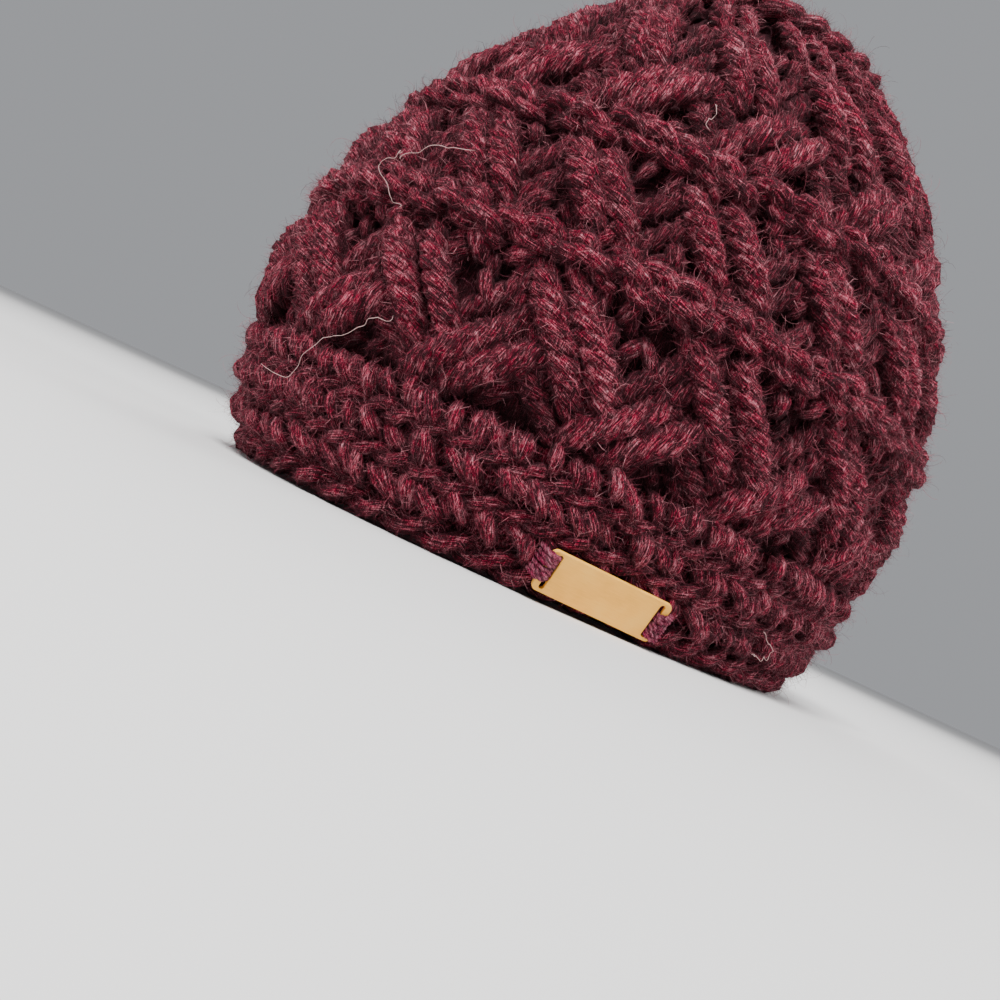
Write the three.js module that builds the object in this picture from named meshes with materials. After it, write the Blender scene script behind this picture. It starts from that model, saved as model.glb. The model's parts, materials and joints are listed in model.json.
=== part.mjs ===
// Ponytail beanie worked in the round from very thick yarn, standing on its brim.
// Millimetres, +Z up. The face side is -Y and the wearer's left is +X.
// Origin: on the floor, under the middle of the hat.

import * as THREE from 'three';

// Driving dimensions
const SEAM_GAP = 0.3;
const TURN_STEPS = 90;
const SLOPE_PROBE = 0.5;
const ANGLE_PROBE = 0.01;

// The knit's outer face, a row for each level above the floor. back is how far the crown leans back.
const SECTIONS = [
  { height: 0, halfWidth: 84, halfLength: 101, back: 0 },
  { height: 11, halfWidth: 92, halfLength: 110, back: 0 },
  { height: 40, halfWidth: 98, halfLength: 117, back: 0 },
  { height: 81, halfWidth: 100, halfLength: 117, back: 1 },
  { height: 130, halfWidth: 90, halfLength: 98, back: 2 },
  { height: 176, halfWidth: 63, halfLength: 67, back: 4 },
  { height: 203, halfWidth: 36, halfLength: 37, back: 5 },
  { height: 212, halfWidth: 26, halfLength: 27, back: 5 },
];

// Rise and fall of the brim's rounds: a rolled edge, then short stitches with a loop line between them.
const BRIM_ROUNDS = [
  { height: 0, rise: -2.5 },
  { height: 3, rise: 0.8 },
  { height: 8, rise: -1.2 },
  { height: 13, rise: 0.6 },
  { height: 20, rise: 1.2 },
  { height: 26, rise: -0.4 },
  { height: 33, rise: 0.8 },
  { height: 40, rise: -2.2 },
];

// Crossing ribs of a tier: each row leans right (+1) or left (-1) as it rises.
// angle is where the middle of one rib lies, in degrees from the front towards the wearer's left.
// A rib has RIB_END of its full weight at both its ends, and crosses half a unit as it rises.
const RIB_RISE = 2;
const RIB_FALL = 5;
const RIB_END = 0.05;
const RIB_CROSSING = 0.5;
const LOWER_CROSSINGS = { count: 15, rows: [
  { low: 40, high: 60, lean: 1, angle: 67 },
  { low: 56, high: 80, lean: -1, angle: 55 },
] };
const MIDDLE_CROSSINGS = { count: 18, rows: [
  { low: 92, high: 118, lean: -1, angle: 46.5 },
] };
const CROWN_CROSSINGS = { count: 15, rows: [
  { low: 130, high: 153, lean: 1, angle: 67 },
  { low: 148, high: 178, lean: -1, angle: 55 },
  { low: 174, high: 198, lean: -1, angle: 43 },
] };

// A ridge round stands proud along its middle and has a notch along both edges.
const RIDGE_RISE = 2.4;
const RIDGE_NOTCH = 1.4;
const LOWER_RIDGE = { low: 80, high: 92 };
const UPPER_RIDGE = { low: 118, high: 130 };

// The rounds of the hat from the brim up, with the heights of each one's outer and inner rows
const RIB_COLOR = 0x7c2a41;
const RIDGE_COLOR = 0x8a3249;
const BRIM_COLOR = 0x6f2439;
const ROUNDS = [
  {
    name: 'brim_band',
    wall: 9,
    color: BRIM_COLOR,
    outer: [0, 3, 8, 13, 20, 26, 33, 40],
    inner: [40, 20, 0],
    relief: (angle, height) => tableValue(BRIM_ROUNDS, 'rise', height),
  },
  {
    name: 'lower_cable_tier',
    wall: 12,
    color: RIB_COLOR,
    outer: [40, 45, 50, 55, 60, 65, 70, 75, 80],
    inner: [80, 60, 40],
    relief: (angle, height) => ribRelief(LOWER_CROSSINGS, angle, height),
  },
  {
    name: 'lower_ridge_round',
    wall: 12,
    color: RIDGE_COLOR,
    outer: [80, 83, 89, 92],
    inner: [92, 80],
    relief: (angle, height) => ridgeRelief(LOWER_RIDGE, height),
  },
  {
    name: 'middle_cable_tier',
    wall: 12,
    color: RIB_COLOR,
    outer: [92, 97, 102, 108, 113, 118],
    inner: [118, 105, 92],
    relief: (angle, height) => ribRelief(MIDDLE_CROSSINGS, angle, height),
  },
  {
    name: 'upper_ridge_round',
    wall: 12,
    color: RIDGE_COLOR,
    outer: [118, 121, 127, 130],
    inner: [130, 118],
    relief: (angle, height) => ridgeRelief(UPPER_RIDGE, height),
  },
  {
    name: 'crown_tier',
    wall: 11,
    color: RIB_COLOR,
    outer: [130, 136, 142, 148, 155, 162, 169, 176, 186, 195],
    inner: [195, 165, 130],
    relief: (angle, height) => ribRelief(CROWN_CROSSINGS, angle, height),
  },
];

// Rolled edging round the ponytail opening: its section, as heights and depths below the outer face.
const EDGING_SECTION = [
  { height: 195, depth: 1.5 },
  { height: 199, depth: -1.2 },
  { height: 204, depth: 0 },
  { height: 206, depth: 5.5 },
  { height: 203, depth: 12 },
  { height: 195, depth: 12.5 },
];

// Blank tag with a slot near each short end, and the yarn ties that hold it to the brim.
const TAG = { angle: 73.5, height: 8.4, tilt: 20, roll: 2, width: 38, tall: 12.7, thick: 1.4, corner: 1.6 };
const SLOT = { fromEnd: 2.6, wide: 1.5, tall: 10.6, corner: 0.74 };
// The front tie sits high in its slot and the back one low: shift is how far up the slot.
const TIES = [
  { name: 'tag_tie_front', side: -1, shift: 1.1 },
  { name: 'tag_tie_back', side: 1, shift: -1.1 },
];
const TIE = { tall: 8, thick: 1.5, overhang: 2.2, proud: 0.3, inSlot: 0.9, rounding: 0.9 };
// How far the tag sinks into the brim, and how far from its middle the brim gives way
const TAG_PRESS = 1.2;
const PRESSED = { along: TAG.width / 2 + 2 * TIE.overhang, up: 1.3 * TAG.tall };
const TAG_COLOR = 0xd9b27a;
const TIE_COLOR = 0xa04468;
const TAG_ROUGHNESS = 0.6;
const YARN_ROUGHNESS = 0.95;

const radians = THREE.MathUtils.degToRad;

// Reads one column of a table at any height, as a smooth curve through its rows
function tableValue(table, column, height) {
  const last = table.length - 1;
  let row = 0;
  while (row < last - 1 && height > table[row + 1].height) {
    row += 1;
  }
  const slopeAt = (index) => {
    const before = table[Math.max(index - 1, 0)];
    const after = table[Math.min(index + 1, last)];
    return (after[column] - before[column]) / (after.height - before.height);
  };
  const start = table[row];
  const end = table[row + 1];
  const span = end.height - start.height;
  const t = (height - start.height) / span;
  const bend = t * t * (3 - 2 * t);
  const startPull = t * (1 - t) * (1 - t) * span * slopeAt(row);
  const endPull = t * t * (t - 1) * span * slopeAt(row + 1);
  return start[column] * (1 - bend) + end[column] * bend + startPull + endPull;
}

// A point of the smooth outer face: angle in radians from the front towards the wearer's left
function facePoint(angle, height) {
  const x = tableValue(SECTIONS, 'halfWidth', height) * Math.sin(angle);
  const reach = tableValue(SECTIONS, 'halfLength', height) * Math.cos(angle);
  const y = tableValue(SECTIONS, 'back', height) - reach;
  return new THREE.Vector3(x, y, height);
}

// Outward direction there. It never points down, so the wall's ends stay level round the brim.
function faceNormal(angle, height) {
  const along = facePoint(angle + ANGLE_PROBE, height).sub(facePoint(angle - ANGLE_PROBE, height));
  const up = facePoint(angle, height + SLOPE_PROBE).sub(facePoint(angle, height - SLOPE_PROBE));
  const normal = along.cross(up).normalize();
  normal.z = Math.max(normal.z, 0);
  return normal.normalize();
}

// A point inside the wall, depth below the smooth outer face
function wallPoint(angle, height, depth) {
  return facePoint(angle, height).addScaledVector(faceNormal(angle, height), -depth);
}

// Crossing ribs: the face swings between the crest of a rib and the hollow beside it
function ribRelief(crossings, angle, height) {
  const unit = 360 / crossings.count;
  let swing = 0;
  let share = 0;
  for (const row of crossings.rows) {
    const rise = (height - row.low) / (row.high - row.low);
    if (rise < 0 || rise > 1) {
      continue;
    }
    const weight = Math.sin(Math.PI * rise) + RIB_END;
    const crossed = row.lean * RIB_CROSSING * (rise - 0.5);
    const across = (THREE.MathUtils.radToDeg(angle) - row.angle) / unit - crossed;
    swing += weight * Math.cos(2 * Math.PI * across);
    share += weight;
  }
  const level = (swing / share) * Math.min(1, share);
  return level > 0 ? level * RIB_RISE : level * RIB_FALL;
}

// A ridge round: proud along its middle, with a notch at each edge
function ridgeRelief({ low, high }, height) {
  const rise = (height - low) / (high - low);
  return -RIDGE_NOTCH + (RIDGE_RISE + RIDGE_NOTCH) * Math.sin(Math.PI * rise);
}

// The tag's own directions: along it, up it and out of the hat
function tagFrame() {
  const angle = radians(TAG.angle);
  const out = faceNormal(angle, TAG.height);
  out.z = 0;
  out.normalize();
  const right = new THREE.Vector3(-out.y, out.x, 0);
  const tilt = radians(TAG.tilt);
  const up = new THREE.Vector3(0, 0, Math.cos(tilt)).addScaledVector(out, Math.sin(tilt));
  const facing = right.clone().cross(up);
  const seat = facePoint(angle, TAG.height).addScaledVector(facing, -TAG_PRESS);
  const turn = new THREE.Quaternion().setFromAxisAngle(facing, -radians(TAG.roll));
  return { seat, facing, right: right.applyQuaternion(turn), up: up.applyQuaternion(turn) };
}

// The soft brim gives way behind the tag: points past the tag's back are pushed in to just behind it
function pressUnderTag(point, frame) {
  const offset = point.clone().sub(frame.seat);
  const proud = offset.dot(frame.facing) + SEAM_GAP;
  const along = Math.abs(offset.dot(frame.right));
  const up = Math.abs(offset.dot(frame.up));
  if (proud > 0 && along < PRESSED.along && up < PRESSED.up) {
    point.addScaledVector(frame.facing, -proud);
  }
  return point;
}

// Joins a closed section, given as points for each angle, into a ring
function ringGeometry(sectionAt) {
  const positions = [];
  const faces = [];
  let count = 0;
  for (let step = 0; step < TURN_STEPS; step += 1) {
    const section = sectionAt((2 * Math.PI * step) / TURN_STEPS);
    count = section.length;
    section.forEach((point) => positions.push(point.x, point.y, point.z));
  }
  for (let step = 0; step < TURN_STEPS; step += 1) {
    const here = step * count;
    const next = ((step + 1) % TURN_STEPS) * count;
    for (let row = 0; row < count; row += 1) {
      const above = (row + 1) % count;
      faces.push(here + row, next + row, next + above);
      faces.push(here + row, next + above, here + above);
    }
  }
  const geometry = new THREE.BufferGeometry();
  geometry.setAttribute('position', new THREE.Float32BufferAttribute(positions, 3));
  geometry.setIndex(faces);
  geometry.computeVertexNormals();
  return geometry;
}

// One round of the hat: its ribbed outer face, and a plain inner face
function roundGeometry(round, frame) {
  const lowest = round.outer[0];
  const highest = round.outer[round.outer.length - 1];
  const clear = (height) => {
    if (height === lowest && lowest > 0) {
      return height + SEAM_GAP / 2;
    }
    return height === highest ? height - SEAM_GAP / 2 : height;
  };
  return ringGeometry((angle) => {
    const outer = round.outer.map((height) => {
      const point = wallPoint(angle, clear(height), -round.relief(angle, height));
      return lowest === 0 && height > 0 ? pressUnderTag(point, frame) : point;
    });
    const inner = round.inner.map((height) => wallPoint(angle, clear(height), round.wall));
    return outer.concat(inner);
  });
}

// The rolled edging of the ponytail opening
function edgingGeometry() {
  const lowest = EDGING_SECTION[0].height;
  return ringGeometry((angle) => EDGING_SECTION.map(({ height, depth }) => {
    const clear = height === lowest ? height + SEAM_GAP / 2 : height;
    return wallPoint(angle, clear, depth);
  }));
}

// A rectangle with round corners, centred on (x, 0)
function roundedOutline(path, x, wide, tall, corner) {
  const right = wide / 2 - corner;
  const top = tall / 2 - corner;
  path.absarc(x + right, top, corner, 0, Math.PI / 2);
  path.absarc(x - right, top, corner, Math.PI / 2, Math.PI);
  path.absarc(x - right, -top, corner, Math.PI, 1.5 * Math.PI);
  path.absarc(x + right, -top, corner, 1.5 * Math.PI, 2 * Math.PI);
  path.closePath();
  return path;
}

// The blank plate, its back on the plane z = 0
function tagGeometry() {
  const shape = roundedOutline(new THREE.Shape(), 0, TAG.width, TAG.tall, TAG.corner);
  for (const side of [-1, 1]) {
    const x = side * (TAG.width / 2 - SLOT.fromEnd);
    shape.holes.push(roundedOutline(new THREE.Path(), x, SLOT.wide, SLOT.tall, SLOT.corner));
  }
  return new THREE.ExtrudeGeometry(shape, { depth: TAG.thick, bevelEnabled: false, curveSegments: 3 });
}

// A tie: out of the slot, over the plate's short end and down to the brim
function tieGeometry({ side, shift }) {
  const slot = TAG.width / 2 - SLOT.fromEnd;
  const foot = TAG.width / 2 + TIE.overhang;
  const under = TAG.thick + TIE.proud;
  const top = under + TIE.thick;
  const round = TIE.rounding;
  const outline = new THREE.Shape();
  outline.moveTo(side * (slot - TIE.inSlot / 2), 0);
  outline.lineTo(side * (slot - TIE.inSlot / 2), top - round);
  outline.lineTo(side * (slot - TIE.inSlot / 2 + round), top);
  outline.lineTo(side * (foot - round), top);
  outline.lineTo(side * foot, top - round);
  outline.lineTo(side * foot, 0);
  outline.lineTo(side * (foot - TIE.thick), 0);
  outline.lineTo(side * (foot - TIE.thick), under);
  outline.lineTo(side * (slot + TIE.inSlot / 2), under);
  outline.lineTo(side * (slot + TIE.inSlot / 2), 0);
  outline.closePath();
  const geometry = new THREE.ExtrudeGeometry(outline, { depth: TIE.tall, bevelEnabled: false });
  geometry.rotateX(Math.PI / 2);
  geometry.translate(0, TIE.tall / 2 + shift, 0);
  return geometry;
}

// A named solid in one plain colour
function solid(name, geometry, color, roughness) {
  const mesh = new THREE.Mesh(geometry, new THREE.MeshStandardMaterial({ color, roughness, metalness: 0 }));
  mesh.name = name;
  return mesh;
}

const group = new THREE.Group();
const frame = tagFrame();
for (const round of ROUNDS) {
  group.add(solid(round.name, roundGeometry(round, frame), round.color, YARN_ROUGHNESS));
}
group.add(solid('ponytail_edging', edgingGeometry(), RIDGE_COLOR, YARN_ROUGHNESS));

const tagGroup = new THREE.Group();
tagGroup.position.copy(frame.seat);
tagGroup.quaternion.setFromRotationMatrix(new THREE.Matrix4().makeBasis(frame.right, frame.up, frame.facing));
tagGroup.add(solid('blank_tag', tagGeometry(), TAG_COLOR, TAG_ROUGHNESS));
for (const tie of TIES) {
  tagGroup.add(solid(tie.name, tieGeometry(tie), TIE_COLOR, YARN_ROUGHNESS));
}
group.add(tagGroup);

export default group;
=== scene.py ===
"""Looks of a ponytail beanie crocheted in the round from very thick heathered yarn.

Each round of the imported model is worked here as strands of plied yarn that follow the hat's
outer face, over a felted core, with loose fibres standing off them. Lengths are in metres.
"""

import json
import logging
import math
from collections.abc import Sequence
from dataclasses import dataclass, field
from enum import Enum
from functools import cached_property

import bpy
import numpy as np
from mathutils import Matrix, Vector

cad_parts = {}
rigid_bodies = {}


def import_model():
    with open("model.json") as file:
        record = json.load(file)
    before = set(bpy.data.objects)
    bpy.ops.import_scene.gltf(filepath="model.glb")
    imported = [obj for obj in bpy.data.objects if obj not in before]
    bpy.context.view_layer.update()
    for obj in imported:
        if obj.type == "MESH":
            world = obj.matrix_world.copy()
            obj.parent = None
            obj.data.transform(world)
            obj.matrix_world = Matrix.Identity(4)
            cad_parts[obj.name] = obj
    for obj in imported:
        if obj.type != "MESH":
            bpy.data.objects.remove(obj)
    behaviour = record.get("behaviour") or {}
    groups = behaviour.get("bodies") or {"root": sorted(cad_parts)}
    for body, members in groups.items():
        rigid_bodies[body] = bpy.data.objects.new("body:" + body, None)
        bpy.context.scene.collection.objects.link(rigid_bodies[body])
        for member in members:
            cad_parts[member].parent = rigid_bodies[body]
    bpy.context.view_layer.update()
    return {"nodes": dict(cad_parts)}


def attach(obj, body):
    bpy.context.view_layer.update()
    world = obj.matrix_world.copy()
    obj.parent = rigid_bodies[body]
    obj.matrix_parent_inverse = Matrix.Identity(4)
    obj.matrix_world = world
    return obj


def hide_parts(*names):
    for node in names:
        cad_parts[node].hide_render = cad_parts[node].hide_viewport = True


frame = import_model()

Shades = tuple[tuple[float, tuple[float, float, float]], ...]
Span = tuple[float, float]

MM = 0.001
FULL_TURN = 2 * math.pi
CLEARANCE = 0.2 * MM
YARN_UNIT = 3 * MM
# The depth that inward-looking wool is given, so that the painted shade darkens it only a little.
INSIDE_SHADE_DEPTH = 3.5 * MM
LOG = logging.getLogger("beanie")


class Lean(Enum):
    """Which way a stitch leans as it rises, seen from outside."""

    RIGHT = 1
    LEFT = -1


class Twist(Enum):
    """Which way the strands of a rope turn about each other."""

    Z = 1
    S = -1


@dataclass(frozen=True)
class Section:
    """One level of the hat's outer face, the same as in the part's source."""

    height: float
    half_width: float
    half_length: float
    back: float


SECTIONS = (
    Section(0.000, 0.084, 0.101, 0.000),
    Section(0.011, 0.092, 0.110, 0.000),
    Section(0.040, 0.098, 0.117, 0.000),
    Section(0.081, 0.100, 0.117, 0.001),
    Section(0.130, 0.090, 0.098, 0.002),
    Section(0.176, 0.063, 0.067, 0.004),
    Section(0.203, 0.036, 0.037, 0.005),
    Section(0.212, 0.026, 0.027, 0.005),
)


@dataclass(frozen=True)
class HatFace:
    """The smooth outer face of the hat. Angles run from the front towards the wearer's left."""

    sections: tuple[Section, ...] = SECTIONS
    probe: float = 0.5 * MM
    probe_angle: float = 0.5

    def column(self, name: str, height: np.ndarray) -> np.ndarray:
        """Reads one column of the sections at any height, as a smooth curve through the rows.

        Args:
            name: The column of the sections.
            height: Heights above the floor.

        Returns:
            The column's value at each height.
        """
        levels = np.array([row.height for row in self.sections])
        values = np.array([getattr(row, name) for row in self.sections])
        last = len(levels) - 1
        before = np.maximum(np.arange(last + 1) - 1, 0)
        after = np.minimum(np.arange(last + 1) + 1, last)
        slopes = (values[after] - values[before]) / (levels[after] - levels[before])
        row = np.clip(np.searchsorted(levels, height, side="left") - 1, 0, last - 1)
        span = levels[row + 1] - levels[row]
        t = (height - levels[row]) / span
        bend = t * t * (3 - 2 * t)
        pull = t * (1 - t) ** 2 * span * slopes[row] + t * t * (t - 1) * span * slopes[row + 1]
        return values[row] * (1 - bend) + values[row + 1] * bend + pull

    def face(self, angle: np.ndarray, height: np.ndarray) -> np.ndarray:
        """Points of the smooth face for angles in degrees and heights."""
        turn = np.radians(angle)
        x = self.column("half_width", height) * np.sin(turn)
        y = self.column("back", height) - self.column("half_length", height) * np.cos(turn)
        return np.stack([x, y, height + 0 * turn], axis=-1)

    def normal(self, angle: np.ndarray, height: np.ndarray) -> np.ndarray:
        """Outward directions that never point down, as the solid walls have them."""
        aside = self.probe_angle
        along = self.face(angle + aside, height) - self.face(angle - aside, height)
        up = self.face(angle, height + self.probe) - self.face(angle, height - self.probe)
        normal = unit(np.cross(along, up))
        normal[..., 2] = np.maximum(normal[..., 2], 0)
        return unit(normal)

    def point(self, angle: np.ndarray, height: np.ndarray, depth: np.ndarray) -> np.ndarray:
        """Points that lie a depth below the smooth face."""
        angle, height, depth = np.broadcast_arrays(np.asarray(angle, float), height, depth)
        return self.face(angle, height) - self.normal(angle, height) * depth[..., None]

    def arc_of_degree(self, height: float) -> float:
        """Mean arc length of one degree round the face at a height, in metres."""
        level = np.array(height)
        mean = (self.column("half_width", level) + self.column("half_length", level)) / 2
        return float(mean * math.pi / 180)


def unit(vectors: np.ndarray) -> np.ndarray:
    """Vectors scaled to length one."""
    return vectors / np.maximum(np.linalg.norm(vectors, axis=-1, keepdims=True), 1e-12)


FACE = HatFace()


@dataclass(frozen=True)
class Unevenness:
    """How far hand-worked stitches stray: places and lengths in metres, the rest as factors."""

    angle: float
    ends: float
    size: Span
    depth: float = 0.0
    slant: Span = (1.0, 1.0)
    length: Span = (1.0, 1.0)


@dataclass(frozen=True)
class TagSeat:
    """Where the tag lies, measured on its solid, and how the soft brim gives way behind it."""

    centre: np.ndarray
    right: np.ndarray
    up: np.ndarray
    out: np.ndarray
    size: np.ndarray
    clear: float = 0.5 * MM
    margin: float = 3 * MM
    reach: float = 20 * MM
    soft_edge: float = 1.15
    softness: float = 4.0

    @classmethod
    def from_frame(cls, node: str) -> "TagSeat":
        """Finds the plate's own directions from the spread of its corners.

        Args:
            node: The plate's node.

        Returns:
            The seat, with right and up along the plate and out away from the hat.
        """
        corners = np.array([vertex.co[:] for vertex in frame["nodes"][node].data.vertices])
        centre = (corners.max(0) + corners.min(0)) / 2
        directions = np.linalg.svd(corners - corners.mean(0))[2]
        right = directions[0] if directions[0] @ np.cross([0, 0, 1], centre) > 0 else -directions[0]
        up = directions[1] if directions[1][2] > 0 else -directions[1]
        out = np.cross(right, up)
        spread = (corners - centre) @ np.stack([right, up, out]).T
        middle = (spread.max(0) + spread.min(0)) / 2
        centre = centre + middle @ np.stack([right, up, out])
        return cls(centre, right, up, out, spread.max(0) - spread.min(0))

    def covers(self, points: np.ndarray) -> np.ndarray:
        """Whether each point lies behind the plate, or within a fibre's length of it."""
        offset = points - self.centre
        across = np.abs(offset @ self.right) < self.size[0] / 2 + self.margin
        along = np.abs(offset @ self.up) < self.size[1] / 2 + self.margin
        return across & along & (offset @ self.out > -self.reach)

    def press(self, points: np.ndarray, radii: np.ndarray) -> np.ndarray:
        """Pushes what would stand in the plate back behind it.

        Args:
            points: Points of a strand's middle line.
            radii: The strand's radius at each point.

        Returns:
            The points, moved where the plate presses on them.
        """
        offset = points - self.centre
        across = np.abs(offset @ self.right) / (self.size[0] / 2 + self.margin)
        along = np.abs(offset @ self.up) / (self.size[1] / 2 + self.margin)
        back = -self.size[2] / 2 - self.clear
        proud = np.maximum(offset @ self.out + radii - back, 0)
        across, along = (np.clip(self.softness * (self.soft_edge - share), 0, 1)
                         for share in (across, along))
        return points - self.out * (proud * across * along)[:, None]


class NodeWriter:
    """Adds nodes to a node tree in few words."""

    def __init__(self, tree: bpy.types.NodeTree) -> None:
        """Keeps the tree that the nodes go into."""
        self.tree = tree

    def add(self, kind: str, *values: object, settings: dict | None = None,
            **named: object) -> bpy.types.Node:
        """Adds one node and feeds its inputs.

        Args:
            kind: The node's type.
            values: What goes into the first inputs, in order; None leaves one alone.
            settings: The node's own properties.
            named: What goes into inputs by name, with _ for a space.

        Returns:
            The new node.
        """
        node = self.tree.nodes.new(kind)
        for key, value in (settings or {}).items():
            setattr(node, key, value)
        for index, value in enumerate(values):
            self.feed(node.inputs[index], value)
        self.fill(node, **named)
        return node

    def fill(self, node: bpy.types.Node, **named: object) -> None:
        """Feeds a node's inputs by name, with _ for a space."""
        for name, value in named.items():
            self.feed(node.inputs[name.replace("_", " ")], value)

    def feed(self, socket: bpy.types.NodeSocket, value: object) -> None:
        """Links a socket to the input, or sets the input's value."""
        if value is None:
            return
        if isinstance(value, bpy.types.NodeSocket):
            self.tree.links.new(value, socket)
        else:
            socket.default_value = value

    def math(self, operation: str, *values: object) -> bpy.types.NodeSocket:
        """The result of one math node."""
        return self.add("ShaderNodeMath", *values, settings={"operation": operation}).outputs[0]

    def attribute(self, name: str) -> bpy.types.NodeSocket:
        """A named number on the geometry, in a geometry tree."""
        node = self.add("GeometryNodeInputNamedAttribute", name, settings={"data_type": "FLOAT"})
        return node.outputs[0]

    def marked(self, name: str, output: str = "Fac") -> bpy.types.NodeSocket:
        """A named value on the piece, in a material."""
        return self.add("ShaderNodeAttribute", settings={"attribute_name": name}).outputs[output]

    def noise(self, place: bpy.types.NodeSocket, scale: object, detail: float,
              roughness: float = 0.5) -> bpy.types.NodeSocket:
        """A noise texture.

        Args:
            place: Where it is read.
            scale: How fine it is.
            detail: How many finer layers it has.
            roughness: How strong the finer layers are.

        Returns:
            The noise, which keeps near one half.
        """
        return self.add("ShaderNodeTexNoise", Vector=place, Scale=scale, Detail=detail,
                        Roughness=roughness).outputs[0]

    def scaled(self, vector: bpy.types.NodeSocket,
               scale: bpy.types.NodeSocket) -> bpy.types.NodeSocket:
        """A vector or colour times a number."""
        return self.add("ShaderNodeVectorMath", vector, Scale=scale,
                        settings={"operation": "SCALE"}).outputs[0]

    def ramp(self, value: bpy.types.NodeSocket, shades: Shades) -> bpy.types.NodeSocket:
        """Turns a number into a colour.

        Args:
            value: The place on the ramp.
            shades: Places on the ramp with their colours.

        Returns:
            The colour.
        """
        node = self.add("ShaderNodeValToRGB", value)
        stops = node.color_ramp.elements
        while len(stops) < len(shades):
            stops.new(0.5)
        for stop, (position, colour) in zip(stops, shades):
            stop.position = position
            stop.color = (*colour, 1)
        return node.outputs[0]

    def bump(self, height: bpy.types.NodeSocket, strength: float,
             distance: float) -> bpy.types.NodeSocket:
        """The normal that a fine relief gives."""
        return self.add("ShaderNodeBump", Strength=strength, Distance=distance,
                        Height=height).outputs[0]


def new_material(name: str) -> tuple[bpy.types.Material, NodeWriter, bpy.types.Node]:
    """A new material, with what writes its nodes, and its shader."""
    material = bpy.data.materials.new(name)
    material.use_nodes = True
    tree = material.node_tree
    return material, NodeWriter(tree), tree.nodes["Principled BSDF"]


class GeometryTool:
    """A geometry node tree with named inputs, and the way to turn its result into a plain mesh."""

    def __init__(self, name: str, inputs: dict[str, str]) -> None:
        """Makes the tree and its sockets.

        Args:
            name: The tree's name.
            inputs: Each input's name and socket type, after the geometry.
        """
        self.tree = bpy.data.node_groups.new(name, "GeometryNodeTree")
        self.write = NodeWriter(self.tree)
        self.identifiers = {}
        for way in ("OUTPUT", "INPUT"):
            self.tree.interface.new_socket("Geometry", in_out=way, socket_type="NodeSocketGeometry")
        for label, kind in inputs.items():
            socket = self.tree.interface.new_socket(label, in_out="INPUT", socket_type=kind)
            self.identifiers[label] = socket.identifier
        self.given = self.write.add("NodeGroupInput").outputs

    def end(self, geometry: bpy.types.NodeSocket) -> None:
        """Realizes what the tree made, gives it its material and ends the tree."""
        real = self.write.add("GeometryNodeRealizeInstances", geometry).outputs[0]
        smooth = self.write.add("GeometryNodeSetShadeSmooth", real).outputs[0]
        dressed = self.write.add("GeometryNodeSetMaterial", smooth, Material=self.given["Material"])
        self.write.add("NodeGroupOutput", dressed.outputs[0])

    def run(self, source: bpy.types.Object, name: str, **values: object) -> bpy.types.Object:
        """Runs the tree on an object and keeps the result as a plain mesh.

        Args:
            source: The object that the tree reads.
            name: The new piece's name.
            values: The inputs' values, with _ for a space.

        Returns:
            The new piece.
        """
        modifier = source.modifiers.new(self.tree.name, "NODES")
        modifier.node_group = self.tree
        for label, value in values.items():
            modifier[self.identifiers[label.replace("_", " ")]] = value
        evaluated = source.evaluated_get(bpy.context.evaluated_depsgraph_get())
        mesh = bpy.data.meshes.new_from_object(evaluated)
        source.modifiers.remove(modifier)
        mesh.name = name
        return new_object(name, mesh)


def new_object(name: str, data: bpy.types.ID) -> bpy.types.Object:
    """A new object in the scene, at the origin."""
    made = bpy.data.objects.new(name, data)
    bpy.context.scene.collection.objects.link(made)
    return made


def discard(piece: bpy.types.Object) -> None:
    """Removes a helper object."""
    bpy.data.objects.remove(piece, do_unlink=True)


def store(mesh: bpy.types.Mesh, label: str, values: np.ndarray) -> None:
    """Stores a number, or a row of three, for each corner point of a mesh."""
    kind, key = ("FLOAT", "value") if values.ndim == 1 else ("FLOAT_VECTOR", "vector")
    attribute = mesh.attributes.new(label, kind, "POINT")
    attribute.data.foreach_set(key, values.astype(np.float32).ravel())


def read(items: Sequence, key: str, width: int = 1, kind: type = np.float32) -> np.ndarray:
    """Reads one property of all items.

    Args:
        items: A mesh's vertices, triangles or stored values.
        key: The property's name.
        width: How many numbers each item has.
        kind: The numbers' type.

    Returns:
        The numbers, in rows where an item has more than one.
    """
    values = np.zeros(len(items) * width, kind)
    items.foreach_get(key, values)
    return values if width == 1 else values.reshape(-1, width)


def wind_up(points: np.ndarray) -> np.ndarray:
    """Length along a line, from its start to each of its points."""
    return np.concatenate([[0], np.cumsum(np.linalg.norm(np.diff(points, axis=0), axis=1))])


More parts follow.
